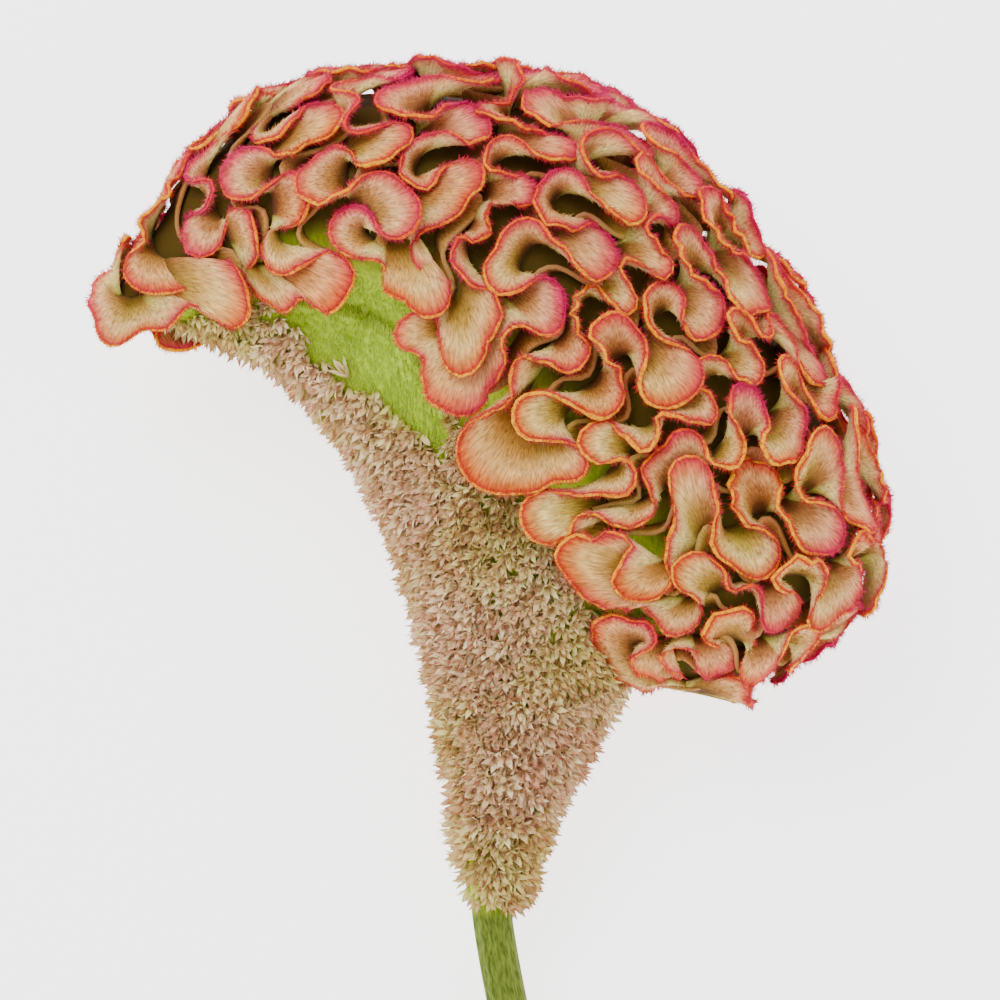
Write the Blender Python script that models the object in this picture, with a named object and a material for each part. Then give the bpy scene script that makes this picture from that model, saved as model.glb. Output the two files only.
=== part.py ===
# Cut flower head of a cockscomb celosia with a short length of stalk, lying on its back.
# The drawing constants are millimetres; the built scene is metres, +Z up, resting on z = 0.
import math

import bmesh
import bpy
import numpy as np

MM = 0.001

# Outline of the crest, from the drooping tail on the left to the lower right end.
# Each row: centre x, centre y, direction of the outer edge in degrees, reach, half depth.
STATIONS = (
    (-88.9, 34.1, 160.0, 5.0, 5.0),
    (-77.0, 46.2, 112.0, 12.3, 10.6),
    (-61.4, 53.2, 117.0, 22.9, 18.5),
    (-43.3, 60.5, 97.0, 33.2, 30.0),
    (-17.2, 56.1, 79.0, 41.8, 40.0),
    (4.8, 38.5, 60.0, 55.0, 43.5),
    (29.5, 9.9, 42.0, 51.0, 40.0),
    (45.1, -15.4, 20.0, 43.6, 33.0),
    (44.0, -24.6, 4.0, 37.4, 28.6),
    (40.6, -33.6, -8.0, 26.0, 22.0),
    (40.8, -40.0, -12.0, 18.5, 14.0),
    (41.0, -44.0, -14.0, 9.0, 7.0),
)
CREST_LIMIT = 118.0
CREST_LIMIT_END = 24.0
BARE_FLANK = 18.0
BARE_FLANK_AT = 0.30
CORE = 0.70
CORE_TAIL = 0.40

# Growth of the folded sheet that makes the crest; its rim spreads out from its foot.
SEED = 3
PASSES = 15
NODE_STEP = 4.0
FOLD_GAP = 7.2
GROWN_NODES = 1700
GROW_SWEEPS = 40
REST_SWEEPS = 50
RIM_SMOOTHS = 1
RIM_STEPS = 1700
RIM_TRIM = (12, 36)
RIM_STEP = 5.0
RIM_TURN = 36.0
WALLS = (1.2, 1.4, 1.8)
THIN_WALL = 0.7
MID_LEVEL = 0.86
MID_FOLD = 0.5
SPREAD = 1.3
DRAW_BACK = 0.1
FOOT_EVEN = 14
LEAN = 0.012
SEAT = 0.8

# Stalk, and the fan that carries the crest; control points of its left, middle and right.
STALK_RADIUS = 4.3
STALK_END = (11.0, -150.0)
STALK_TOP = (-2.0, -89.0)
FAN_LEFT = (-13.2, 38.5)
FAN_MIDDLE = (-4.4, -30.8)
FAN_RIGHT = (7.7, -66.0)
FAN_DEPTH = 13.0
FAN_SIDES = 32
FAN_ROWS = tuple(k / 9 for k in range(10))
MARGIN = 12.0

# Florets round the fan.
SLEEVE_GAP = 0.3
TAIL_GAP = 1.2
FLORET_COLUMNS = 64
FLORET_ROWS = 26
FLORET_DEPTH = (5.0, 3.6, 1.6)
FLORET_TIP = 2.0

# Resting pose: nod about x and roll about y in degrees, depth of the flat resting spots.
NOD = 12.0
ROLL = -2.0
FLAT_CUT = 2.4

CREST_COLOUR = (0.78, 0.42, 0.33)
FLORET_COLOUR = (0.80, 0.72, 0.60)
STEM_COLOUR = (0.32, 0.42, 0.10)


def clear_scene():
    for item in list(bpy.data.objects):
        bpy.data.objects.remove(item)


def material(name, colour, roughness):
    mat = bpy.data.materials.new(name)
    mat.use_nodes = True
    shader = mat.node_tree.nodes["Principled BSDF"]
    shader.inputs["Base Color"].default_value = (*colour, 1.0)
    shader.inputs["Roughness"].default_value = roughness
    shader.inputs["Metallic"].default_value = 0.0
    return mat


def catmull(rows, at):
    """Rows of numbers read at fractional row positions along a smooth curve."""
    last = len(rows) - 1
    i = np.clip(np.floor(at).astype(int), 0, last - 1)
    f = (at - i)[:, None]
    a, b = rows[np.maximum(i - 1, 0)], rows[i]
    c, d = rows[i + 1], rows[np.minimum(i + 2, last)]
    bend = 2 * a - 5 * b + 4 * c - d
    cubic = 3 * b - a - 3 * c + d
    return 0.5 * (2 * b + (c - a) * f + bend * f * f + cubic * f * f * f)


def crest_table():
    """Station values at 201 places spaced evenly between centre line and outer edge."""
    rows = np.array(STATIONS, float)
    at = np.linspace(0, len(rows) - 1, 2001)
    fine = catmull(rows, at)
    lean = np.radians(fine[:, 2])
    edge = fine[:, :2] + fine[:, 3:4] * np.stack([np.cos(lean), np.sin(lean)], 1)
    run = np.r_[0, np.cumsum(0.3 * np.hypot(*np.diff(fine[:, :2], axis=0).T)
                             + 0.7 * np.hypot(*np.diff(edge, axis=0).T))]
    even = np.linspace(0, run[-1], 201)
    return catmull(rows, np.interp(even, run, at))


TABLE = crest_table()


def on_crest(u, phi, level):
    """Point of the crest's envelope; u runs along it, phi round it, level outwards."""
    at = np.clip(u, 0, 1) * 200
    i = np.minimum(at.astype(int), 199)
    f = (at - i)[:, None]
    x, y, lean, reach, depth = (TABLE[i] * (1 - f) + TABLE[i + 1] * f).T
    lean = np.radians(lean)
    out = level * reach * np.cos(phi)
    return np.stack([x + out * np.cos(lean), y + out * np.sin(lean),
                     level * depth * np.sin(phi)], 1)


def core_level(u):
    """The core fills most of the crest but thins out in the tail and at the far end."""
    thin = np.clip(1 - u / 0.13, 0, 1) + np.clip((u - 0.9) / 0.1, 0, 1)
    return CORE - (CORE - CORE_TAIL) * thin


def limits(u):
    """How far round the crest the sheet reaches on the back and on the front."""
    end = CREST_LIMIT_END * np.clip((u - 0.88) / 0.12, 0, 1)
    bare = BARE_FLANK * np.exp(-((u - BARE_FLANK_AT) / 0.035) ** 2)
    return -np.radians(CREST_LIMIT + end), np.radians(CREST_LIMIT + end - bare)


def first_curve(rng):
    """A line that passes from back to front and on again along the whole crest."""
    t = np.linspace(0, 1, PASSES * 40 + 1)
    x = t * PASSES
    u = 0.045 + 0.930 * (x - 0.9 * np.sin(2 * np.pi * x) / (2 * np.pi)) / PASSES
    reach = np.interp(x, np.arange(PASSES + 1), rng.uniform(0.90, 1.02, PASSES + 1))
    low, high = limits(u)
    s, c = np.sin(np.pi * x), np.cos(np.pi * x)
    swing = s / np.sqrt(s * s + 0.35 * c * c)
    q = np.stack([u, reach * np.where(swing > 0, high, -low) * swing], 1)
    run = np.r_[0, np.cumsum(np.linalg.norm(np.diff(on_crest(*q.T, 1.0), axis=0), axis=1))]
    s = np.linspace(0, run[-1], int(run[-1] / NODE_STEP))
    q = np.stack([np.interp(s, run, q[:, 0]), np.interp(s, run, q[:, 1])], 1)
    q[1:-1] += rng.normal(0, 1, (len(q) - 2, 2)) * (0.002, 0.02)
    return q


def near_pairs(p):
    x = p.astype(np.float32)
    apart = np.zeros((len(x), len(x)), np.float32)
    for k in range(3):
        apart += (x[:, None, k] - x[None, :, k]) ** 2
    i, j = np.nonzero(np.triu(apart < (FOLD_GAP + 2.5) ** 2, 3))
    return i, j, np.clip((j - i - 2) / 4.0, 0, 1)


def relax(q, pairs):
    """One small step of springs along the line and of folds keeping apart."""
    i, j, share = pairs
    tiny = 1e-4
    p = on_crest(*q.T, 1.0)
    ju = (on_crest(q[:, 0] + tiny, q[:, 1], 1.0) - p) / tiny
    jf = (on_crest(q[:, 0], q[:, 1] + tiny, 1.0) - p) / tiny
    force = np.zeros_like(p)
    d = np.diff(p, axis=0)
    size = np.sqrt((d * d).sum(1))[:, None] + 1e-9
    pull = 0.30 * (size - NODE_STEP) * d / size
    force[:-1] += pull
    force[1:] -= pull
    lap = p[:-2] + p[2:] - 2 * p[1:-1]
    force[1:-1] += 0.1 * lap
    bend = np.zeros_like(p)
    bend[1:-1] = lap
    force[1:-1] -= 0.03 * (bend[:-2] + bend[2:] - 2 * bend[1:-1])
    dd = p[i] - p[j]
    apart = np.sqrt((dd * dd).sum(1)) + 1e-9
    push = 0.9 * share * np.maximum(0, 1 - apart / FOLD_GAP) / apart
    for k in range(3):
        part = dd[:, k] * push
        force[:, k] += np.bincount(i, part, len(p)) - np.bincount(j, part, len(p))
    length = np.sqrt((force * force).sum(1))[:, None]
    force *= np.minimum(1, 0.9 / np.maximum(length, 1e-9))
    a, b, c = (ju * ju).sum(1), (ju * jf).sum(1), (jf * jf).sum(1)
    fu, ff = (ju * force).sum(1), (jf * force).sum(1)
    det = a * c - b * b + 1e-6
    q[:, 0] += np.clip((c * fu - b * ff) / det, -0.01, 0.01)
    q[:, 1] += np.clip((a * ff - b * fu) / det, -0.2, 0.2)
    q[:, 0] = np.clip(q[:, 0], 0.035, 0.985)
    low, high = limits(q[:, 0])
    q[:, 1] = np.clip(q[:, 1], low, high)
    return np.round(q, 8)


def grown_sheet():
    """The sheet's foot, where growth starts, and its rim, both read at the rim's nodes."""
    rng = np.random.default_rng(SEED)
    q = first_curve(rng)
    for sweep in range(GROW_SWEEPS + REST_SWEEPS):
        if sweep == 3:
            old, place = q.copy(), np.arange(len(q), dtype=float)
        if sweep >= 3 and len(q) < GROWN_NODES:
            size = np.linalg.norm(np.diff(on_crest(*q.T, 1.0), axis=0), axis=1)
            chance = np.where(size > 1.3 * NODE_STEP, 1.0, 0.06)
            pick = np.nonzero(rng.random(len(q) - 1) < chance)[0]
            q = np.insert(q, pick + 1, 0.5 * (q[pick] + q[pick + 1]), axis=0)
            place = np.insert(place, pick + 1, 0.5 * (place[pick] + place[pick + 1]))
        pairs = near_pairs(on_crest(*q.T, 1.0))
        for _ in range(8):
            q = relax(q, pairs)
    for _ in range(RIM_SMOOTHS):
        q[1:-1] = 0.25 * (q[:-2] + 2 * q[1:-1] + q[2:])
    foot = foot_line(old, place)
    rim = foot + (q - foot) * SPREAD
    low, high = limits(rim[:, 0])
    rim[:, 1] -= DRAW_BACK * (rim[:, 1] - np.clip(rim[:, 1], low, high))
    return foot, rim


def foot_line(old, place):
    """The sheet's foot read at the rim's nodes, its stretch evened out along the rim."""
    run = np.r_[0, np.cumsum(np.linalg.norm(np.diff(on_crest(*old.T, 1.0), axis=0), axis=1))]
    at = np.interp(place, np.arange(len(old)), run)
    reach = 3 * FOOT_EVEN
    weight = np.exp(-0.5 * (np.arange(-reach, reach + 1) / FOOT_EVEN) ** 2)
    wide = np.r_[2 * at[0] - at[reach:0:-1], at, 2 * at[-1] - at[-2:-reach - 2:-1]]
    at = np.clip(np.convolve(wide, weight / weight.sum(), "valid"), 0, run[-1])
    u, phi = np.interp(at, run, old[:, 0]), np.interp(at, run, old[:, 1])
    return np.stack([u - LEAN * np.clip(np.minimum(u, 1 - u) / 0.2, 0, 1), phi], 1)


def solid(name, points, faces, mat):
    """A named mesh object with points given in the drawing frame, placed in its pose."""
    mesh = bpy.data.meshes.new(name)
    mesh.from_pydata([tuple(p) for p in turned(np.asarray(points)) * MM], [], faces)
    mesh.validate()
    mesh.polygons.foreach_set("use_smooth", [True] * len(mesh.polygons))
    item = bpy.data.objects.new(name, mesh)
    bpy.context.scene.collection.objects.link(item)
    item.data.materials.append(mat)
    return item


def turned(points):
    """Nod the stalk's end down and roll the head, as it lies on a table."""
    nod, roll = np.radians(NOD), np.radians(ROLL)
    x, y, z = points.T
    y, z = y * np.cos(nod) - z * np.sin(nod), y * np.sin(nod) + z * np.cos(nod)
    x, z = x * np.cos(roll) + z * np.sin(roll), z * np.cos(roll) - x * np.sin(roll)
    return np.stack([x, y, z], 1)


def settle(items):
    """Set the parts on z = 0 with the lowest folds pressed flat, centred over the origin."""
    found = [np.array([v.co for v in item.data.vertices]) for item in items]
    lift = FLAT_CUT * MM + min(p[:, 2].min() for p in found)
    found = [p - (0, 0, lift) for p in found]
    corners = np.concatenate(found)
    middle = (corners.min(0) + corners.max(0)) / 2
    for item, p in zip(items, found):
        p[:, 2] = np.maximum(p[:, 2], 0)
        p[:, :2] -= middle[:2]
        item.data.vertices.foreach_set("co", p.ravel())
        item.data.update()


def sheet_samples(lines):
    """Rim and base of the sheet read at steps that follow the rim's bends."""
    base, rim = lines
    fine = np.linspace(0, len(rim) - 1, (len(rim) - 1) * 8 + 1)
    p = on_crest(*catmull(rim, fine).T, 1.0)
    d = np.diff(p, axis=0)
    size = np.linalg.norm(d, axis=1) + 1e-9
    t = d / size[:, None]
    turn = np.degrees(np.arccos(np.clip((t[:-1] * t[1:]).sum(1), -1, 1)))
    cost = np.r_[0, np.cumsum(size / RIM_STEP + np.r_[0, turn] / RIM_TURN)]
    at = np.interp(np.linspace(0, cost[-1], RIM_STEPS + 1)[RIM_TRIM[0]:-RIM_TRIM[1]], cost, fine)
    return at, base, rim


def foot_level(q):
    """Level at which the sheet's foot stands just clear of the core."""
    at = np.clip(q[:, 0], 0, 1) * 200
    reach = np.minimum(TABLE[:, 3], TABLE[:, 4])
    return core_level(q[:, 0]) + SEAT / np.interp(at, np.arange(201), reach)


def ribbon_band(coarse, fine):
    """Triangles between a level with steps of two and the next with steps of one."""
    faces = []
    for k in range(len(coarse) - 1):
        a, b = coarse[k], coarse[k + 1]
        f0, f1, f2 = fine[2 * k], fine[2 * k + 1], fine[2 * k + 2]
        faces += [(a, f1, f0), (a, b, f1), (b, f2, f1)]
    return faces


def sheet_sides(points, faces):
    """Unit normals of the sheet's middle surface at its points."""
    p = points[np.array(faces)]
    flat = np.cross(p[:, 1] - p[:, 0], p[:, 2] - p[:, 0])
    flat /= np.sqrt(np.linalg.norm(flat, axis=1))[:, None] + 1e-9
    side = np.zeros_like(points)
    for k in range(3):
        np.add.at(side, np.array(faces)[:, k], flat)
    return side / (np.linalg.norm(side, axis=1)[:, None] + 1e-9)


def crest(lines, mat):
    """One folded sheet: a foot on the core, a middle level and the rim, on two faces."""
    at, base, rim = sheet_samples(lines)
    foot = catmull(base, at[::4])
    middle = catmull(base * (1 - MID_FOLD) + rim * MID_FOLD, at[::2])
    edge = catmull(rim, at)
    centre = np.concatenate([on_crest(*foot.T, foot_level(foot)),
                             on_crest(*middle.T, MID_LEVEL), on_crest(*edge.T, 1.0)])
    first = np.cumsum([0, len(foot), len(middle), len(edge)])
    rows = [list(range(first[k], first[k + 1])) for k in range(3)]
    bands = ribbon_band(rows[0], rows[1]) + ribbon_band(rows[1], rows[2])
    side = sheet_sides(centre, bands)
    du, df = foot + (1e-3, 0), foot + (0, 1e-3)
    here = centre[:len(foot)]
    up = np.cross(on_crest(*df.T, foot_level(df)) - here, on_crest(*du.T, foot_level(du)) - here)
    up /= np.linalg.norm(up, axis=1)[:, None]
    flat = side[:len(foot)] - up * (side[:len(foot)] * up).sum(1)[:, None]
    side[:len(foot)] = flat / (np.linalg.norm(flat, axis=1)[:, None] + 1e-9)
    along = np.concatenate([foot[:, 0], middle[:, 0], edge[:, 0]])
    full = np.clip(np.minimum(along - 0.09, 0.975 - along) / 0.06, 0, 1)
    wall = np.repeat((WALLS[2], WALLS[1], WALLS[0]), np.diff(first))
    half = (THIN_WALL + (wall - THIN_WALL) * full)[:, None] / 2
    points = np.concatenate([centre + side * half, centre - side * half])
    n = len(centre)
    faces = list(bands) + [(a + n, c + n, b + n) for a, b, c in bands]
    for line, flip in ((rows[2], 1), (rows[0], -1)):
        for a, b in zip(line, line[1:]):
            faces += [(a, b, b + n)[::flip], (a, b + n, a + n)[::flip]]
    for end, flip in ((0, 1), (-1, -1)):
        for k in (0, 1):
            a, b = rows[k][end], rows[k + 1][end]
            faces += [(a, b, b + n)[::flip], (a, b + n, a + n)[::flip]]
    return solid("crest", points, faces, mat)


def fan_point(v, a):
    """Surface of the fan; v runs from stalk to crest margin, a round it from the right."""
    c, s = np.cos(a), np.sin(a)
    foot = np.stack([STALK_TOP[0] + STALK_RADIUS * c, np.full_like(a, STALK_TOP[1]),
                     STALK_RADIUS * s], 1)
    left, mid, right = c * (c - 1) / 2, 1 - c * c, c * (c + 1) / 2
    ctrl = [FAN_LEFT[k] * left + FAN_MIDDLE[k] * mid + FAN_RIGHT[k] * right for k in (0, 1)]
    control = np.stack([ctrl[0], ctrl[1], FAN_DEPTH * s], 1)
    top = np.zeros_like(foot)
    for shift in (-0.2, -0.1, 0.0, 0.1, 0.2):
        near = np.clip(c + shift, -1, 1)
        u = 0.5 + 0.475 * near
        end = CREST_LIMIT_END * np.clip((near - 0.3) / 0.7, 0, 1) ** 2
        top += on_crest(u, np.radians(CREST_LIMIT + MARGIN + end), core_level(u)) / 5
    top[:, 2] *= s / np.sqrt((s * s + 0.15) / 1.15)
    v = v[:, None]
    return foot * (1 - v) ** 2 + 2 * control * v * (1 - v) + top * v * v


def fan_grid(rows, sides):
    """Points and outward normals of the fan."""
    v, a = np.meshgrid(rows, 2 * np.pi * np.arange(sides) / sides, indexing="ij")
    v, a = v.ravel(), a.ravel()
    p = fan_point(v, a)
    dv = fan_point(v + 1e-3, a) - fan_point(v - 1e-3, a)
    da = fan_point(v, a + 1e-3) - fan_point(v, a - 1e-3)
    n = np.cross(da, dv)
    n /= np.linalg.norm(n, axis=1)[:, None] + 1e-12
    return p.reshape(len(rows), sides, 3), -n.reshape(len(rows), sides, 3)


def tube_faces(rows, sides, first=0):
    faces = []
    for r in range(rows - 1):
        for k in range(sides):
            a = first + r * sides + k
            b = first + r * sides + (k + 1) % sides
            faces.append((a, a + sides, b + sides, b))
    return faces


def stalk_rings():
    """Round stalk from the cut end up to the foot of the fan, with a slight bow."""
    rings = []
    a = 2 * np.pi * np.arange(FAN_SIDES) / FAN_SIDES
    for t in np.linspace(0, 1, 6)[:-1]:
        x = STALK_END[0] + (STALK_TOP[0] - STALK_END[0]) * (1 - (1 - t) ** 1.25)
        y = STALK_END[1] + (STALK_TOP[1] - STALK_END[1]) * t
        lean = 0.22 * (1 - t)
        r = STALK_RADIUS * (1.04 - 0.04 * t)
        rings.append(np.stack([x + r * np.cos(a) * math.cos(lean),
                               y + r * np.cos(a) * math.sin(lean), r * np.sin(a)], 1))
    return rings


def core_rings():
    """Closed core of the crest as rings along its length."""
    rings = []
    a = 2 * np.pi * np.arange(18) / 18
    for u in np.r_[np.linspace(0, 0.85, 15), np.linspace(0.88, 1, 7)]:
        rings.append(on_crest(np.full(18, u), a, core_level(u)))
    return rings


def capped(rings, name, mat):
    sides = len(rings[0])
    points = np.concatenate(rings)
    faces = tube_faces(len(rings), sides)
    faces.append(tuple(range(sides)))
    faces.append(tuple(range(len(points) - 1, len(points) - 1 - sides, -1)))
    return solid(name, points, faces, mat)


def outward(item):
    mesh = bmesh.new()
    mesh.from_mesh(item.data)
    bmesh.ops.triangulate(mesh, faces=mesh.faces[:])
    bmesh.ops.recalc_face_normals(mesh, faces=mesh.faces[:])
    mesh.to_mesh(item.data)
    mesh.free()


def join_solids(main_item, tool):
    boolean = main_item.modifiers.new("join", "BOOLEAN")
    boolean.operation = "UNION"
    boolean.solver = "EXACT"
    boolean.object = tool
    bpy.context.view_layer.update()
    shape = bpy.data.meshes.new_from_object(
        main_item.evaluated_get(bpy.context.evaluated_depsgraph_get()))
    main_item.modifiers.clear()
    main_item.data = shape
    bpy.data.objects.remove(tool)


def stem(mat):
    """Stalk, fan and the core inside the crest, grown as one."""
    fan = fan_grid(FAN_ROWS, FAN_SIDES)[0]
    u = 0.5 + 0.475 * np.cos(2 * np.pi * np.arange(FAN_SIDES) / FAN_SIDES)
    centre = on_crest(u, np.zeros(FAN_SIDES), 0.0)
    inside = centre + 0.25 * (fan[-1] - centre)
    item = capped(stalk_rings() + list(fan) + [inside], "stem", mat)
    core = capped(core_rings(), "core", mat)
    outward(item)
    outward(core)
    join_solids(item, core)
    outward(item)
    return item


def florets(mat):
    """Closed sleeve of staggered pointed florets over the fan."""
    rows = np.linspace(0.015, 0.97, FLORET_ROWS + 1)
    base, normal = fan_grid(rows, FLORET_COLUMNS)
    round_fan = 2 * np.pi * np.arange(FLORET_COLUMNS) / FLORET_COLUMNS
    tail = np.clip((-np.cos(round_fan) - 0.3) / 0.7, 0, 1)
    k = np.arange(FLORET_COLUMNS)
    points, faces = [], []
    for r, v in enumerate(rows):
        depth = np.interp(v, (0, 0.5, 1), FLORET_DEPTH)
        tip = FLORET_TIP * ((k + r) % 2) * np.interp(v, (0, 0.1, 0.9, 1), (0.4, 1, 1, 0.3))
        gap = SLEEVE_GAP + TAIL_GAP * tail * np.interp(v, (0.6, 0.95), (0, 1))
        points += list(base[r] + normal[r] * (gap + depth + tip)[:, None])
    outer = FLORET_COLUMNS
    faces += [f[::-1] for f in tube_faces(len(rows), outer)]
    half = outer // 2
    inner_rows = np.r_[rows[0], FAN_ROWS[1:-1], rows[-1]]
    inner_base, inner_normal = fan_grid(inner_rows, half)
    first = len(points)
    for r, v in enumerate(inner_rows):
        gap = SLEEVE_GAP + TAIL_GAP * tail[::2] * np.interp(v, (0.6, 0.95), (0, 1))
        points += list(inner_base[r] + inner_normal[r] * gap[:, None])
    faces += tube_faces(len(inner_rows), half, first)
    for ring_out, ring_in, flip in ((0, first, False),
                                    ((len(rows) - 1) * outer, len(points) - half, True)):
        for j in range(half):
            a, b = ring_in + j, ring_in + (j + 1) % half
            f0, f1, f2 = (ring_out + (2 * j + m) % outer for m in range(3))
            part = [(a, f0, f1), (a, f1, b), (b, f1, f2)]
            faces += [f[::-1] for f in part] if flip else part
    item = solid("florets", np.array(points), faces, mat)
    outward(item)
    return item


def main():
    clear_scene()
    lines = grown_sheet()
    head = crest(lines, material("crest", CREST_COLOUR, 0.75))
    outward(head)
    stalk = stem(material("stem", STEM_COLOUR, 0.6))
    sleeve = florets(material("florets", FLORET_COLOUR, 0.85))
    settle((head, stalk, sleeve))


main()
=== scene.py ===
import math

import bpy
import numpy as np
from mathutils import Matrix, Vector


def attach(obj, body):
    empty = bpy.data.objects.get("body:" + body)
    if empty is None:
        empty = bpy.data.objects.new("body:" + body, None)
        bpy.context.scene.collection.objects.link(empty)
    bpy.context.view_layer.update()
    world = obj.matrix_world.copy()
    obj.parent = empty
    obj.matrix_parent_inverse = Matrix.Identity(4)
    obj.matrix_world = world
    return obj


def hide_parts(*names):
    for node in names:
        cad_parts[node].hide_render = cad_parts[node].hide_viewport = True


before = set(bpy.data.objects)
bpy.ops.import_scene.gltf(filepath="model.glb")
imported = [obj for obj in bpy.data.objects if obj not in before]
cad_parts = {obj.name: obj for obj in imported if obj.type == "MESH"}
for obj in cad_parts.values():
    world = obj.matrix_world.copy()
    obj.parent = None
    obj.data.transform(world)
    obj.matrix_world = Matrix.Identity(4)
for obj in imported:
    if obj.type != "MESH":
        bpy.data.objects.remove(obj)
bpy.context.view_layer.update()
bpy.ops.object.select_all(action="DESELECT")

# Pose: a cut flower lies down. The head leans back on its lowest folds, and the cut end of
# the stalk touches the table. NOD and ROLL turn the upright drawing, PLACE is where its
# origin then lies, and folds that bear on the table are pressed flat at z = 0.
MM = 0.001
NOD = math.radians(12.0)
ROLL = math.radians(-2.0)
PLACE = (2.140, 25.704, 35.028)


def turned(points):
    """Directions of the drawing turned as the flower lies."""
    x, y, z = np.asarray(points, float).T
    y, z = y * math.cos(NOD) - z * math.sin(NOD), y * math.sin(NOD) + z * math.cos(NOD)
    x, z = x * math.cos(ROLL) + z * math.sin(ROLL), z * math.cos(ROLL) - x * math.sin(ROLL)
    return np.stack([x, y, z], 1)


def laid(points):
    """Points of the drawing in metres where the flower lies, none below the table."""
    out = turned(points) + PLACE
    out[:, 2] = np.maximum(out[:, 2], 0.0)
    return out * MM


# Form of the crest: one sheet that grew to and fro over a swollen core, its edge far longer
# than its foot, so it lies in folds. The stations give the crest's outline from the drooping
# tail to the lower right end: centre x, y, direction of the outer edge, reach, half depth.
STATIONS = (
    (-88.9, 34.1, 160.0, 5.0, 5.0),
    (-77.0, 46.2, 112.0, 12.3, 10.6),
    (-61.4, 53.2, 117.0, 22.9, 18.5),
    (-43.3, 60.5, 97.0, 33.2, 30.0),
    (-17.2, 56.1, 79.0, 41.8, 40.0),
    (4.8, 38.5, 60.0, 55.0, 43.5),
    (29.5, 9.9, 42.0, 51.0, 40.0),
    (45.1, -15.4, 20.0, 43.6, 33.0),
    (44.0, -24.6, 4.0, 37.4, 28.6),
    (40.6, -33.6, -8.0, 26.0, 22.0),
    (40.8, -40.0, -12.0, 18.5, 14.0),
    (41.0, -44.0, -14.0, 9.0, 7.0),
)
STATION_STEPS = 200
CENTRE_SHARE = 0.3
EDGE_SHARE = 0.7
CREST_LIMIT = 118.0
CREST_LIMIT_END = 24.0
LIMIT_END_FROM = 0.88
LIMIT_END_LENGTH = 0.12
BARE_FLANK = 18.0
BARE_FLANK_AT = 0.30
BARE_FLANK_WIDTH = 0.035
CORE = 0.70
CORE_TAIL = 0.40
CORE_TAIL_LENGTH = 0.13
CORE_END_FROM = 0.9
CORE_END_LENGTH = 0.1
SEAT = 0.8


def read_along(rows, at):
    """Rows of numbers read at fractional row positions along a smooth curve."""
    last = len(rows) - 1
    i = np.clip(np.floor(at).astype(int), 0, last - 1)
    f = (at - i)[:, None]
    a, b = rows[np.maximum(i - 1, 0)], rows[i]
    c, d = rows[i + 1], rows[np.minimum(i + 2, last)]
    bend = 2 * a - 5 * b + 4 * c - d
    cubic = 3 * b - a - 3 * c + d
    return 0.5 * (2 * b + (c - a) * f + bend * f * f + cubic * f * f * f)


def even_stations():
    """Station values at places spaced evenly between centre line and outer edge."""
    rows = np.array(STATIONS, float)
    at = np.linspace(0, len(rows) - 1, 10 * STATION_STEPS + 1)
    fine = read_along(rows, at)
    lean = np.radians(fine[:, 2])
    edge = fine[:, :2] + fine[:, 3:4] * np.stack([np.cos(lean), np.sin(lean)], 1)
    run = np.r_[0, np.cumsum(CENTRE_SHARE * np.hypot(*np.diff(fine[:, :2], axis=0).T)
                             + EDGE_SHARE * np.hypot(*np.diff(edge, axis=0).T))]
    even = np.linspace(0, run[-1], STATION_STEPS + 1)
    return read_along(rows, np.interp(even, run, at))


CREST_FORM = even_stations()


def on_crest(u, phi, level):
    """Point of the crest's envelope; u runs along it, phi round it, level outwards."""
    at = np.clip(u, 0, 1) * STATION_STEPS
    i = np.minimum(at.astype(int), STATION_STEPS - 1)
    f = (at - i)[:, None]
    x, y, lean, reach, depth = (CREST_FORM[i] * (1 - f) + CREST_FORM[i + 1] * f).T
    lean = np.radians(lean)
    out = level * reach * np.cos(phi)
    return np.stack([x + out * np.cos(lean), y + out * np.sin(lean),
                     level * depth * np.sin(phi)], 1)


def core_level(u):
    """The core fills most of the crest but thins out in the tail and at the far end."""
    tail = np.clip(1 - u / CORE_TAIL_LENGTH, 0, 1)
    thin = tail + np.clip((u - CORE_END_FROM) / CORE_END_LENGTH, 0, 1)
    return CORE - (CORE - CORE_TAIL) * thin


def limits(u):
    """How far round the crest the sheet reaches on the back and on the front."""
    end = CREST_LIMIT_END * np.clip((u - LIMIT_END_FROM) / LIMIT_END_LENGTH, 0, 1)
    bare = BARE_FLANK * np.exp(-((u - BARE_FLANK_AT) / BARE_FLANK_WIDTH) ** 2)
    return -np.radians(CREST_LIMIT + end), np.radians(CREST_LIMIT + end - bare)


# Growth of the sheet: its line starts as plain passes from back to front, gains length
# evenly and is pushed apart where folds come near, as the growing edge of a cockscomb is.
# It follows the same steps as the part's own sheet, so that its folds lie in the same places.
SEED = 3
PASSES = 15
PASS_POINTS = 40
PASS_REACH = (0.90, 1.02)
PASS_DWELL = 0.9
PASS_TURN = 0.35
FIRST_U = 0.045
LINE_U = 0.930
U_ENDS = (0.035, 0.985)
NODE_STEP = 4.0
NODE_SCATTER = (0.002, 0.02)
FOLD_GAP = 7.2
NEAR_MARGIN = 2.5
SKIPPED_NODES = 2
EASED_NODES = 4.0
STRETCH = 0.30
SMOOTHING = 0.1
STIFFNESS = 0.03
PUSH = 0.9
FORCE_LIMIT = 0.9
MOVE_LIMITS = (0.01, 0.2)
GROWN_NODES = 1700
SETTLE_SWEEPS = 3
GROW_SWEEPS = 40
REST_SWEEPS = 50
SWEEP_STEPS = 8
LONG_STEP = 1.3
SPLIT_CHANCE = 0.06
RIM_SMOOTHS = 1
FOOT_EVEN = 14
LEAN = 0.012
LEAN_FADE = 0.2


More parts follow.
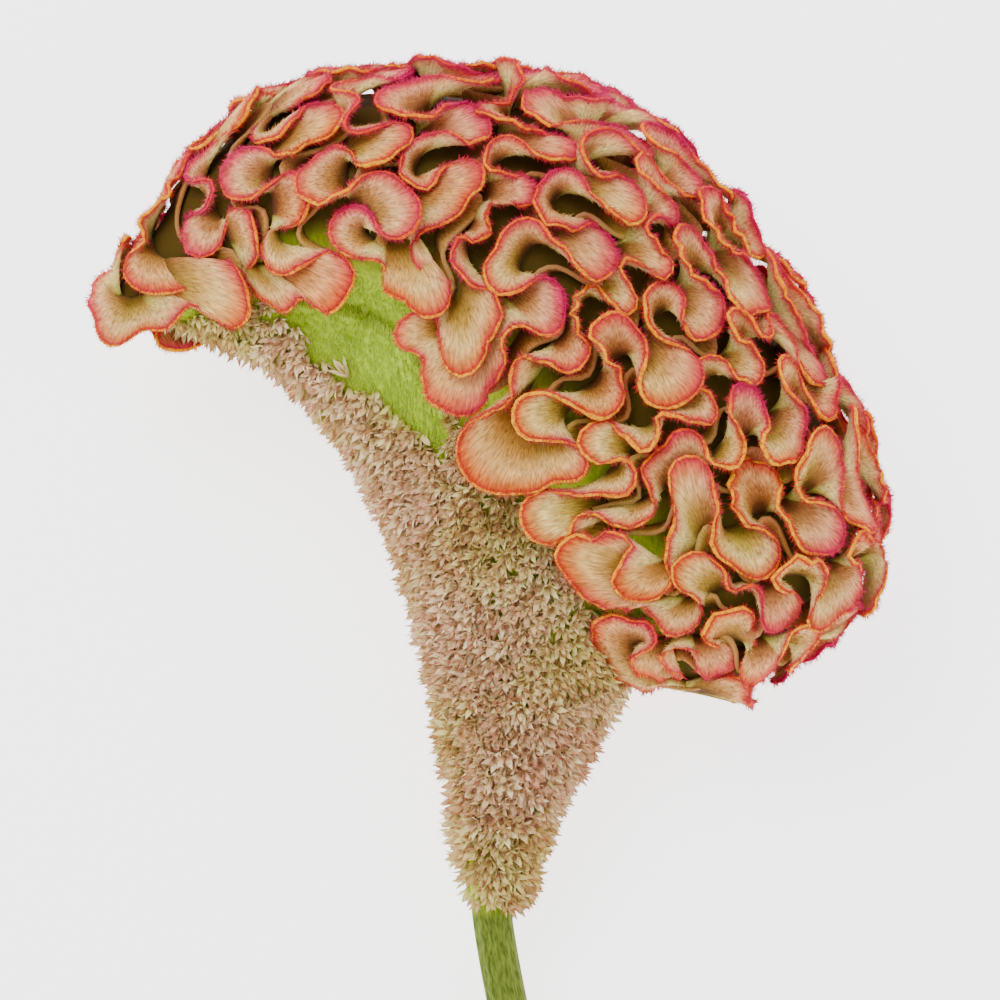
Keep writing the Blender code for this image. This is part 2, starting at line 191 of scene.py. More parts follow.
def first_curve(rng):
    """A line that passes from back to front and on again along the whole crest."""
    t = np.linspace(0, 1, PASSES * PASS_POINTS + 1)
    x = t * PASSES
    u = FIRST_U + LINE_U * (x - PASS_DWELL * np.sin(2 * np.pi * x) / (2 * np.pi)) / PASSES
    reach = np.interp(x, np.arange(PASSES + 1), rng.uniform(*PASS_REACH, PASSES + 1))
    low, high = limits(u)
    s, c = np.sin(np.pi * x), np.cos(np.pi * x)
    swing = s / np.sqrt(s * s + PASS_TURN * c * c)
    q = np.stack([u, reach * np.where(swing > 0, high, -low) * swing], 1)
    run = np.r_[0, np.cumsum(np.linalg.norm(np.diff(on_crest(*q.T, 1.0), axis=0), axis=1))]
    s = np.linspace(0, run[-1], int(run[-1] / NODE_STEP))
    q = np.stack([np.interp(s, run, q[:, 0]), np.interp(s, run, q[:, 1])], 1)
    q[1:-1] += rng.normal(0, 1, (len(q) - 2, 2)) * NODE_SCATTER
    return q


def near_pairs(p):
    """Pairs of nodes that may push, with less push for nodes close along the line."""
    x = p.astype(np.float32)
    apart = np.zeros((len(x), len(x)), np.float32)
    for k in range(3):
        apart += (x[:, None, k] - x[None, :, k]) ** 2
    i, j = np.nonzero(np.triu(apart < (FOLD_GAP + NEAR_MARGIN) ** 2, SKIPPED_NODES + 1))
    return i, j, np.clip((j - i - SKIPPED_NODES) / EASED_NODES, 0, 1)


def relax(q, pairs):
    """One small step of springs along the line and of folds keeping apart."""
    i, j, share = pairs
    tiny = 1e-4
    p = on_crest(*q.T, 1.0)
    by_u = (on_crest(q[:, 0] + tiny, q[:, 1], 1.0) - p) / tiny
    by_phi = (on_crest(q[:, 0], q[:, 1] + tiny, 1.0) - p) / tiny
    force = np.zeros_like(p)
    d = np.diff(p, axis=0)
    size = np.sqrt((d * d).sum(1))[:, None] + 1e-9
    pull = STRETCH * (size - NODE_STEP) * d / size
    force[:-1] += pull
    force[1:] -= pull
    lap = p[:-2] + p[2:] - 2 * p[1:-1]
    force[1:-1] += SMOOTHING * lap
    bend = np.zeros_like(p)
    bend[1:-1] = lap
    force[1:-1] -= STIFFNESS * (bend[:-2] + bend[2:] - 2 * bend[1:-1])
    dd = p[i] - p[j]
    apart = np.sqrt((dd * dd).sum(1)) + 1e-9
    push = PUSH * share * np.maximum(0, 1 - apart / FOLD_GAP) / apart
    for k in range(3):
        part = dd[:, k] * push
        force[:, k] += np.bincount(i, part, len(p)) - np.bincount(j, part, len(p))
    length = np.sqrt((force * force).sum(1))[:, None]
    force *= np.minimum(1, FORCE_LIMIT / np.maximum(length, 1e-9))
    a, b, c = (by_u * by_u).sum(1), (by_u * by_phi).sum(1), (by_phi * by_phi).sum(1)
    force_u, force_phi = (by_u * force).sum(1), (by_phi * force).sum(1)
    det = a * c - b * b + 1e-6
    q[:, 0] += np.clip((c * force_u - b * force_phi) / det, -MOVE_LIMITS[0], MOVE_LIMITS[0])
    q[:, 1] += np.clip((a * force_phi - b * force_u) / det, -MOVE_LIMITS[1], MOVE_LIMITS[1])
    q[:, 0] = np.clip(q[:, 0], *U_ENDS)
    low, high = limits(q[:, 0])
    q[:, 1] = np.clip(q[:, 1], low, high)
    return np.round(q, 8)


def foot_line(old, place):
    """The sheet's foot read at the rim's nodes, its stretch evened out along the rim."""
    run = np.r_[0, np.cumsum(np.linalg.norm(np.diff(on_crest(*old.T, 1.0), axis=0), axis=1))]
    at = np.interp(place, np.arange(len(old)), run)
    reach = 3 * FOOT_EVEN
    weight = np.exp(-0.5 * (np.arange(-reach, reach + 1) / FOOT_EVEN) ** 2)
    wide = np.r_[2 * at[0] - at[reach:0:-1], at, 2 * at[-1] - at[-2:-reach - 2:-1]]
    at = np.clip(np.convolve(wide, weight / weight.sum(), "valid"), 0, run[-1])
    u, phi = np.interp(at, run, old[:, 0]), np.interp(at, run, old[:, 1])
    return np.stack([u - LEAN * np.clip(np.minimum(u, 1 - u) / LEAN_FADE, 0, 1), phi], 1)


def grown_sheet():
    """The sheet's foot, where growth starts, and its rim, both read at the rim's nodes."""
    rng = np.random.default_rng(SEED)
    q = first_curve(rng)
    for sweep in range(GROW_SWEEPS + REST_SWEEPS):
        if sweep == SETTLE_SWEEPS:
            old, place = q.copy(), np.arange(len(q), dtype=float)
        if sweep >= SETTLE_SWEEPS and len(q) < GROWN_NODES:
            size = np.linalg.norm(np.diff(on_crest(*q.T, 1.0), axis=0), axis=1)
            chance = np.where(size > LONG_STEP * NODE_STEP, 1.0, SPLIT_CHANCE)
            pick = np.nonzero(rng.random(len(q) - 1) < chance)[0]
            q = np.insert(q, pick + 1, 0.5 * (q[pick] + q[pick + 1]), axis=0)
            place = np.insert(place, pick + 1, 0.5 * (place[pick] + place[pick + 1]))
        pairs = near_pairs(on_crest(*q.T, 1.0))
        for _ in range(SWEEP_STEPS):
            q = relax(q, pairs)
    for _ in range(RIM_SMOOTHS):
        q[1:-1] = 0.25 * (q[:-2] + 2 * q[1:-1] + q[2:])
    return foot_line(old, place), q


foot_nodes, rim_nodes = grown_sheet()

# Crest sheet: soft velvety tissue about a millimetre thick. It stands nearly upright at its
# foot and flares towards its rim, so each fold opens like half a trumpet. Faces inside a fold
# are salmon to olive and darken with painted shade into the depth, faces outside it are cream,
# partly a painted sheen of hairs that lie flat, and the rim wriggles finely.
SHEET_STEP = 1.12
SHEET_ENDS = (4.0, 8.0)
SHEET_LEVELS = (0.0, 0.2, 0.36, 0.5, 0.62, 0.73, 0.82, 0.9, 0.96, 1.0)
WALL_FOOT = 1.5
WALL_RIM = 0.8
# How the sheet opens from its foot to its rim, and where a fold counts as fully bent.
FLARE = 1.7
RISE = 0.7
SPREAD = 1.33
FULL_BEND = 0.08
SMOOTH_OVER = 9
# Each fold swells into the free room beside its rim, less so in the tail.
ROOM_REACH = 12.0
ROOM_CONE = 0.75
ROOM_SKIPPED = 8
ROOM_LEFT = 1.4
SWELL_TAIL = (0.14, 0.24)
SWELL_LIMITS = (5.0, 3.0)
SWELL_SMOOTH = 11
SWELL_CURVE = 2.5
LIFT = 1.4
LIFT_CURVE = 2
SUNK = 1.2
# Ruffles, bumps, wriggles and the nodding rim; a wander is the length of its swing and a seed.
RUFFLE_TAIL = (0.10, 0.22)
RUFFLES = (1.7, 0.7)
RUFFLE_LENGTH = 10.0
RUFFLE_WANDER = (20.0, 15)
BUMPS = 1.3
BUMP_WANDER = (9.0, 14)
WRIGGLE = 0.55
WRIGGLE_LENGTH = 4.0
WRIGGLE_WANDER = (9.0, 11)
WRIGGLE_SIZE_WANDER = (14.0, 12)
WRIGGLE_CURVE = 6
RIM_NOD = 0.45
RIM_NOD_WANDER = (5.0, 13)
RIM_NOD_CURVE = 4
# Where the tissue's colours lie.
OUTER_EDGE = 60.0
TONE_WANDER = (16.0, 16)
ROSY_WANDER = (12.0, 17)
FLOW_HEIGHT = 14.0
WARM = 0.52
WARM_FRONT = 0.011
WARM_DOWN = 0.0075


def unit(v):
    return v / (np.linalg.norm(v, axis=-1, keepdims=True) + 1e-12)


def wander(run, length, seed):
    """Smooth noise along a line, about one swing per two lengths."""
    count = int(run[-1] / length) + 4
    values = np.random.default_rng(seed).normal(0, 1, count)
    return read_along(values[:, None], run / length + 1)[:, 0]


def smoothed(values, width):
    window = np.hanning(width)
    return np.convolve(values, window / window.sum(), "same")


def even_samples(nodes, step):
    """Fractional node positions spaced evenly along the rim, and the run there."""
    fine = np.linspace(0, len(nodes) - 1, (len(nodes) - 1) * 8 + 1)
    p = on_crest(*read_along(nodes, fine).T, 1.0)
    run = np.r_[0, np.cumsum(np.linalg.norm(np.diff(p, axis=0), axis=1))]
    first, last = SHEET_ENDS[0], run[-1] - SHEET_ENDS[1]
    at = np.linspace(first, last, int((last - first) / step) + 1)
    return np.interp(at, run, fine), at


def foot_level(q):
    """Level at which the sheet's foot stands just clear of the core."""
    at = np.clip(q[:, 0], 0, 1) * STATION_STEPS
    reach = np.minimum(CREST_FORM[:, 3], CREST_FORM[:, 4])
    return core_level(q[:, 0]) + SEAT / np.interp(at, np.arange(STATION_STEPS + 1), reach)


def crest_up(q):
    """Outward normals of the crest's envelope and the direction towards the florets."""
    here = on_crest(q[:, 0], q[:, 1], 1.0)
    round_it = on_crest(q[:, 0], q[:, 1] + 1e-3, 1.0) - here
    up = np.cross(round_it, on_crest(q[:, 0] + 1e-3, q[:, 1], 1.0) - here)
    outwards = on_crest(q[:, 0], q[:, 1], 1.01) - here
    up *= np.sign((up * outwards).sum(1))[:, None]
    return unit(up), unit(round_it * np.sign(q[:, 1:]))


def room_beside(points, away):
    """Distance from each rim point to the next fold in the direction given."""
    room = np.full(len(points), ROOM_REACH)
    order = np.arange(len(points))
    batch = 400
    for first in range(0, len(points), batch):
        some = slice(first, first + batch)
        apart = points[None] - points[some, None]
        distance = np.linalg.norm(apart, axis=2) + 1e-9
        ahead = np.einsum("ijk,ik->ij", apart, away[some]) / distance
        other = np.abs(order[None] - order[some, None]) > ROOM_SKIPPED
        counted = (ahead > ROOM_CONE) & other
        room[some] = np.minimum(room[some], np.where(counted, distance, ROOM_REACH).min(1))
    return room


def sheet_directions(middle):
    """Directions along the sheet, up it and square to it at every point of its middle."""
    along = unit(np.gradient(middle, axis=1))
    rise = unit(np.gradient(middle, np.array(SHEET_LEVELS), axis=0))
    return along, rise, unit(np.cross(along, rise))


at, run = even_samples(rim_nodes, SHEET_STEP)
foot_q, rim_q = read_along(foot_nodes, at), read_along(rim_nodes, at)
low_level = foot_level(foot_q)
middle = []
for t in SHEET_LEVELS:
    q = foot_q + (rim_q - foot_q) * SPREAD * t ** FLARE
    middle.append(on_crest(q[:, 0], q[:, 1], low_level + (1 - low_level) * t ** RISE))
middle = np.array(middle)

up, down = crest_up(rim_q)
along = unit(np.gradient(middle[-1], axis=0))
lateral = unit(np.cross(along, up))
turn = np.einsum("ij,ij->i", np.gradient(along, axis=0), lateral) / SHEET_STEP
turn = smoothed(turn, SMOOTH_OVER)
bent = -np.tanh(turn / FULL_BEND)
room = room_beside(middle[-1], lateral * np.sign(bent)[:, None])
swell_limit = np.interp(rim_q[:, 0], SWELL_TAIL, SWELL_LIMITS)
swell = smoothed(bent * np.clip((room - ROOM_LEFT) / 2, 0, swell_limit), SWELL_SMOOTH)
ruffle = np.interp(rim_q[:, 0], RUFFLE_TAIL, RUFFLES)
swell += ruffle * np.sin(2 * np.pi * run / RUFFLE_LENGTH + 1.4 * wander(run, *RUFFLE_WANDER))
facing = np.einsum("ij,ij->i", lateral, down) * bent
lift = smoothed(LIFT * facing, SMOOTH_OVER) + BUMPS * wander(run, *BUMP_WANDER) - SUNK
for k, t in enumerate(SHEET_LEVELS):
    middle[k] += (lateral * (swell * t ** SWELL_CURVE)[:, None]
                  + up * (lift * t ** LIFT_CURVE)[:, None])

along, rise, side = sheet_directions(middle)
wriggle = np.sin(2 * np.pi * run / WRIGGLE_LENGTH + 1.5 * wander(run, *WRIGGLE_WANDER))
wriggle *= WRIGGLE * (0.7 + 0.4 * wander(run, *WRIGGLE_SIZE_WANDER))
rim_nod = RIM_NOD * wander(run, *RIM_NOD_WANDER)
for k, t in enumerate(SHEET_LEVELS):
    middle[k] += (side[k] * (wriggle * t ** WRIGGLE_CURVE)[:, None]
                  + rise[k] * (rim_nod * t ** RIM_NOD_CURVE)[:, None])
along, rise, side = sheet_directions(middle)
levels, samples = len(SHEET_LEVELS), len(run)
sheet_depth = np.repeat(SHEET_LEVELS, samples)
half_wall = np.interp(sheet_depth, (0, 1), (WALL_FOOT / 2, WALL_RIM / 2))
half_wall = half_wall.reshape(levels, samples, 1)


def grid_faces(rows, columns, closed=False, first=0):
    """Quads between rows of points, the first point numbered first; closed joins rows up."""
    r, c = np.meshgrid(np.arange(rows - 1), np.arange(columns - (not closed)), indexing="ij")
    a = (first + r * columns + c).ravel()
    b = (first + r * columns + (c + 1) % columns).ravel()
    return np.stack([a, b, b + columns, a + columns], 1)


def thick_sheet(middle, half):
    """Points of a sheet's two faces, and quads over both and along its upper rim."""
    rows, columns = middle.shape[:2]
    points = np.concatenate([(middle + half).reshape(-1, 3), (middle - half).reshape(-1, 3)])
    shift = rows * columns
    face = grid_faces(rows, columns)
    top = (rows - 1) * columns + np.arange(columns - 1)
    rim = np.stack([top, top + 1, top + 1 + shift, top + shift], 1)
    return points, np.concatenate([face, face[:, ::-1] + shift, rim])


def warm_value(points):
    """0 where the crest is magenta, on top and at the back, to 1 at the golden lower front."""
    x, y, z = points.T
    return np.clip(WARM + WARM_FRONT * z - WARM_DOWN * (0.8 * y + 0.25 * x - 30), 0, 1)


# Outer faces take the cream ramp and inner faces the darker ones: partly the tissue's own colour,
# partly painted sheen on hairs lying flat and painted shade between hairs standing up.
outer_face = 1 / (1 + np.exp(np.stack([turn, -turn]) * OUTER_EDGE))
tone = np.clip(0.5 + 0.45 * wander(run, *TONE_WANDER), 0, 1)
rosy = np.clip(0.98 - 0.66 * warm_value(middle[-1]) - 0.42 * smoothed(facing, 15)
               + 0.2 * wander(run, *ROSY_WANDER), 0, 1)
sheet_points, sheet_faces = thick_sheet(middle, side * half_wall)
sheet_layers = {
    "depth": np.tile(sheet_depth, 2),
    "tone": np.tile(tone, 2 * levels),
    "rosy": np.tile(rosy, 2 * levels),
    "hair": np.full(2 * levels * samples, 0.5),
    "outer": np.concatenate([np.tile(outer_face[0], levels), np.tile(outer_face[1], levels)]),
    "flow": np.stack([np.tile(run, 2 * levels), np.tile(sheet_depth * FLOW_HEIGHT, 2),
                      np.repeat((0.0, 40.0), levels * samples)], 1),
}


def new_material(name, roughness, sheen=0.0):
    """A dull material of plant tissue; returns it with its node tree and its shader."""
    mat = bpy.data.materials.new(name)
    mat.use_nodes = True
    shader = mat.node_tree.nodes["Principled BSDF"]
    shader.inputs["Roughness"].default_value = roughness
    shader.inputs["Specular IOR Level"].default_value = 0.08
    if sheen:
        shader.inputs["Sheen Weight"].default_value = sheen
        shader.inputs["Sheen Roughness"].default_value = 0.5
        shader.inputs["Sheen Tint"].default_value = (1.0, 0.75, 0.55, 1.0)
    return mat, mat.node_tree, shader


def value_of(tree, label, vector=False):
    """A piece's own value layer as a socket."""
    node = tree.nodes.new("ShaderNodeAttribute")
    node.attribute_name = label
    return node.outputs["Vector" if vector else "Fac"]


def ramp(tree, factor, stops):
    """Colours by a factor, from stops of a place and a colour."""
    node = tree.nodes.new("ShaderNodeValToRGB")
    elements = node.color_ramp.elements
    while len(elements) < len(stops):
        elements.new(0.5)
    for element, (place, colour) in zip(elements, stops):
        element.position = place
        element.color = (*colour, 1.0)
    tree.links.new(factor, node.inputs["Fac"])
    return node.outputs["Color"]


def mixed(tree, factor, a, b, mode="MIX"):
    """Two colours mixed; each input is a socket, a number or a colour."""
    node = tree.nodes.new("ShaderNodeMix")
    node.data_type = "RGBA"
    node.blend_type = mode
    for socket, value in ((node.inputs[0], factor), (node.inputs[6], a), (node.inputs[7], b)):
        if isinstance(value, (int, float)):
            socket.default_value = value
        elif isinstance(value, tuple):
            socket.default_value = (*value, 1.0)
        else:
            tree.links.new(value, socket)
    return node.outputs[2]


def noise(tree, vector, scale, detail=3.0, stretch=None):
    """Soft noise over a vector, which may be stretched first."""
    if stretch:
        mapping = tree.nodes.new("ShaderNodeMapping")
        mapping.inputs["Scale"].default_value = stretch
        tree.links.new(vector, mapping.inputs["Vector"])
        vector = mapping.outputs["Vector"]
    node = tree.nodes.new("ShaderNodeTexNoise")
    node.inputs["Scale"].default_value = scale
    node.inputs["Detail"].default_value = detail
    tree.links.new(vector, node.inputs["Vector"])
    return node.outputs["Fac"]


def bumped(tree, shader, height_socket, strength, distance):
    """Fine relief on a shader."""
    node = tree.nodes.new("ShaderNodeBump")
    node.inputs["Strength"].default_value = strength
    node.inputs["Distance"].default_value = distance
    tree.links.new(height_socket, node.inputs["Height"])
    tree.links.new(node.outputs["Normal"], shader.inputs["Normal"])


def made(name, points, faces, layers, mat, node):
    """A finished piece from points of the drawing, with one named value layer per look."""
    mesh = bpy.data.meshes.new(name)
    place = laid(points)
    faces = np.asarray(faces, np.int32)
    count, corners = faces.shape
    mesh.vertices.add(len(place))
    mesh.vertices.foreach_set("co", place.astype(np.float32).ravel())
    mesh.loops.add(faces.size)
    mesh.loops.foreach_set("vertex_index", faces.ravel())
    mesh.polygons.add(count)
    mesh.polygons.foreach_set("loop_start", np.arange(count, dtype=np.int32) * corners)
    mesh.polygons.foreach_set("use_smooth", np.ones(count, bool))
    for label, values in layers.items():
        values = np.asarray(values, np.float32)
        kind, field = ("FLOAT_VECTOR", "vector") if values.ndim == 2 else ("FLOAT", "value")
        mesh.attributes.new(label, kind, "POINT").data.foreach_set(field, values.ravel())
    mesh.update(calc_edges=True)
    mesh.materials.append(mat)
    piece = bpy.data.objects.new(name, mesh)
    bpy.context.scene.collection.objects.link(piece)
    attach(piece, "root")
    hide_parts(node)


# Ramps up a fold by depth: the hues, olive, tawny and salmon to magenta at the rim, are the
# tissue's own, and the near-black low ends are painted shade in the depth of the folds.
TAWNY_SHADED = ((0.0, (0.035, 0.010, 0.002)), (0.40, (0.14, 0.045, 0.008)), (0.64, (0.45, 0.17, 0.035)),
         (0.84, (0.80, 0.39, 0.12)), (0.95, (0.72, 0.15, 0.02)), (1.0, (0.66, 0.04, 0.01)))
OLIVE_SHADED = ((0.0, (0.035, 0.028, 0.002)), (0.40, (0.17, 0.12, 0.008)), (0.64, (0.50, 0.36, 0.05)),
         (0.84, (0.86, 0.65, 0.23)), (0.95, (0.74, 0.27, 0.06)), (1.0, (0.66, 0.04, 0.02)))
ROSY_SHADED = ((0.0, (0.035, 0.010, 0.003)), (0.40, (0.16, 0.05, 0.015)), (0.64, (0.47, 0.18, 0.07)),
        (0.82, (0.80, 0.36, 0.21)), (0.93, (0.68, 0.06, 0.11)), (1.0, (0.56, 0.002, 0.11)))
OUTER_SHEEN_SHADED = ((0.0, (0.20, 0.24, 0.015)), (0.4, (0.54, 0.50, 0.09)), (0.75, (0.85, 0.70, 0.27)),
         (0.9, (0.80, 0.44, 0.20)), (1.0, (0.62, 0.02, 0.09)))
STREAKS = ((0.32, (0.62, 0.52, 0.44)), (0.66, (1.25, 1.22, 1.15)))
STREAK_STRETCH = (2.6, 0.8, 1.0)
HAIR_SHADES = ((0.0, (0.50, 0.38, 0.30)), (0.5, (1.0, 1.0, 1.0)), (1.0, (1.40, 1.25, 1.10)))


def crest_colour(tree):
    """Colour of the crest's tissue from its depth, its side and its place on the head; painted
    shade darkens the depth of each fold and painted sheen lightens its outer faces.
    """
    depth, rosy = value_of(tree, "depth"), value_of(tree, "rosy")
    flow = value_of(tree, "flow", vector=True)
    inner = mixed(tree, value_of(tree, "tone"), ramp(tree, depth, TAWNY_SHADED), ramp(tree, depth, OLIVE_SHADED))
    inner = mixed(tree, rosy, inner, ramp(tree, depth, ROSY_SHADED))
    base = mixed(tree, value_of(tree, "outer"), inner, ramp(tree, depth, OUTER_SHEEN_SHADED))
    streak = noise(tree, flow, 1.0, 4.0, STREAK_STRETCH)
    streaked = mixed(tree, 1.0, base, ramp(tree, streak, STREAKS), "MULTIPLY")
    hairs = ramp(tree, value_of(tree, "hair"), HAIR_SHADES)
    return mixed(tree, 1.0, streaked, hairs, "MULTIPLY"), streak


velvet, velvet_tree, velvet_shader = new_material("crest_velvet", 0.9, 0.08)
tissue, tissue_streak = crest_colour(velvet_tree)
velvet_tree.links.new(tissue, velvet_shader.inputs["Base Color"])
bumped(velvet_tree, velvet_shader, tissue_streak, 0.6, 0.0004)
made("crest_sheet", sheet_points, sheet_faces, sheet_layers, velvet, "crest")

# Inner frills: lower folds of the same velvety tissue, which fill the valleys between the
# tall ones. They grow from the core a little beside the tall folds, and painted shade keeps
# them dark: their depth is read low on the tissue's ramps.
FRILL_EVERY = 2
FRILL_LEVELS = (0.0, 0.35, 0.65, 0.85, 1.0)
FRILL_SHIFT = 0.031
FRILL_SHIFT_END = (0.95, 0.1)
FRILL_SPREAD = 0.9
FRILL_FLARE = 1.5
FRILL_TOP = 0.55
FRILL_WALL = 0.9
FRILL_SHADE_DEPTH = 0.7
frill_foot, frill_rim = foot_q[::FRILL_EVERY], rim_q[::FRILL_EVERY]
fade = np.clip((FRILL_SHIFT_END[0] - frill_foot[:, :1]) / FRILL_SHIFT_END[1], 0, 1)
shifted = np.array([FRILL_SHIFT, 0.0]) * fade
frill_low = foot_level(frill_foot)
frill = []
for t in FRILL_LEVELS:
    q = frill_foot + shifted + (frill_rim - frill_foot) * FRILL_SPREAD * t ** FRILL_FLARE
    frill.append(on_crest(q[:, 0], q[:, 1], frill_low + (1 - frill_low) * FRILL_TOP * t))
frill = np.array(frill)
frill_side = unit(np.cross(np.gradient(frill, axis=1), np.gradient(frill, axis=0)))
frill_points, frill_faces = thick_sheet(frill, frill_side * FRILL_WALL / 2)
frill_rows, frill_columns = frill.shape[:2]
frill_size = frill_rows * frill_columns
# Painted shade: the frills' depth is scaled down, so the ramps colour them darker than the tall
# folds.
frill_depth = np.tile(np.repeat(FRILL_LEVELS, frill_columns) * FRILL_SHADE_DEPTH, 2)
frill_layers = {
    "depth": frill_depth,
    "tone": np.tile(tone[::FRILL_EVERY], 2 * frill_rows),
    "rosy": np.tile(rosy[::FRILL_EVERY], 2 * frill_rows),
    "hair": np.full(2 * frill_size, 0.5),
    "outer": np.zeros(2 * frill_size),
    "flow": np.stack([np.tile(run[::FRILL_EVERY], 2 * frill_rows), frill_depth * FLOW_HEIGHT,
                      np.repeat((80.0, 120.0), frill_size)], 1),
}
made("crest_inner_frills", frill_points, frill_faces, frill_layers, velvet, "crest")

# Rim line: the growing edge itself, a thin raised cord of orange and yellow that runs
# without a break along every fold and turns magenta on top of the head.
CORD_RADIUS = 0.38
CORD_SIDES = 6
CORD_ABOVE = 0.25
CORD_WANDER = (1.5, 21)
CORD_COLOURS = ((0.15, (1.0, 0.45, 0.0)), (0.45, (0.96, 0.27, 0.0)), (0.7, (0.80, 0.07, 0.02)),
                (0.95, (0.60, 0.004, 0.12)))
CORD_GRAIN = ((0.35, (0.75, 0.55, 0.5)), (0.65, (1.15, 1.15, 1.1)))
edge = middle[-1] + rise[-1] * CORD_ABOVE
thick = CORD_RADIUS * (1 + 0.22 * wander(run, *CORD_WANDER)) * (1.15 - 0.4 * rosy)
angles = 2 * np.pi * np.arange(CORD_SIDES) / CORD_SIDES
cord_points = (edge[:, None] + thick[:, None, None]
               * (side[-1][:, None] * np.cos(angles)[:, None]
                  + rise[-1][:, None] * np.sin(angles)[:, None])).reshape(-1, 3)
cord_faces = grid_faces(samples, CORD_SIDES, closed=True)
cord, cord_tree, cord_shader = new_material("rim_cord", 0.8)
cord_colour = ramp(cord_tree, value_of(cord_tree, "rosy"), CORD_COLOURS)
cord_grain = noise(cord_tree, value_of(cord_tree, "flow", vector=True), 1.3, 3.0)
cord_spots = ramp(cord_tree, cord_grain, CORD_GRAIN)
cord_tree.links.new(mixed(cord_tree, 1.0, cord_colour, cord_spots, "MULTIPLY"),
                    cord_shader.inputs["Base Color"])
made("crest_rim_line", cord_points, cord_faces,
     {"rosy": np.repeat(rosy, CORD_SIDES), "flow": cord_points}, cord, "crest")

# Fringe: short stiff hairs, magenta to orange, that stand out on both sides of the rim line.
# They grow from the tissue just below it and fan out from upright to square to the fold.
FRINGE_HAIRS = 51000
PICK_MARGIN = 1.001
FRINGE_LENGTH = (0.9, 1.9)
FRINGE_WIDTH = 0.12
FRINGE_TILT = 1.35
FRINGE_SINK = (0.1, 0.9)
FRINGE_ASIDE = 0.3
FRINGE_SCATTER = 0.2
ROSY_SCATTER = 0.2
FRINGE_ROOT_COLOURS = ((0.80, 0.10, 0.005), (0.66, 0.01, 0.08))
FRINGE_TIP_COLOURS = ((0.70, 0.03, 0.05), (0.66, 0.01, 0.17))


def hairs_on(base, direction, length, width):
    """Three-sided hairs; returns points, faces and 0 at each root to 1 at each tip."""
    across = unit(np.cross(direction, (0.31, 0.52, 0.80)))
    other = np.cross(direction, across)
    ring = [base + width * (across * math.cos(a) + other * math.sin(a))
            for a in (0.0, 2 * math.pi / 3, 4 * math.pi / 3)]
    points = np.stack(ring + [base + direction * length[:, None]], 1).reshape(-1, 3)
    first = 4 * np.arange(len(base))
    faces = np.concatenate([np.stack([first + a, first + b, first + 3], 1)
                            for a, b in ((0, 1), (1, 2), (2, 0))])
    return points, faces, np.tile((0.0, 0.0, 0.0, 1.0), len(base))


fringe, fringe_tree, fringe_shader = new_material("fringe_hair", 0.8)
root_colour = mixed(fringe_tree, value_of(fringe_tree, "rosy"), *FRINGE_ROOT_COLOURS)
tip_colour = mixed(fringe_tree, value_of(fringe_tree, "rosy"), *FRINGE_TIP_COLOURS)
fringe_tree.links.new(mixed(fringe_tree, value_of(fringe_tree, "tip"), root_colour, tip_colour),
                      fringe_shader.inputs["Base Color"])
for name, sign, seed in (("crest_fringe_a", 1, 31), ("crest_fringe_b", -1, 32)):
    rng = np.random.default_rng(seed)
    pick = rng.random(FRINGE_HAIRS) * (samples - PICK_MARGIN)
    i, f = pick.astype(int), (pick % 1.0)[:, None]
    root = edge[i] * (1 - f) + edge[i + 1] * f
    out, away, on = rise[-1][i], sign * side[-1][i], along[-1][i]
    tilt = rng.uniform(0.0, FRINGE_TILT, FRINGE_HAIRS)[:, None]
    direction = unit(out * np.cos(tilt) + away * np.sin(tilt)
                     + on * rng.normal(0, FRINGE_SCATTER, (FRINGE_HAIRS, 1)))
    sunk = rng.uniform(*FRINGE_SINK, (FRINGE_HAIRS, 1))
    root = root - out * sunk + away * np.sin(tilt) * FRINGE_ASIDE
    length = rng.uniform(*FRINGE_LENGTH, FRINGE_HAIRS)
    points, faces, tip = hairs_on(root, direction, length, FRINGE_WIDTH)
    hair_rosy = np.clip(rosy[i] + rng.normal(0, ROSY_SCATTER, FRINGE_HAIRS), 0, 1)
    made(name, points, faces, {"tip": tip, "rosy": np.repeat(hair_rosy, 4)}, fringe, "crest")

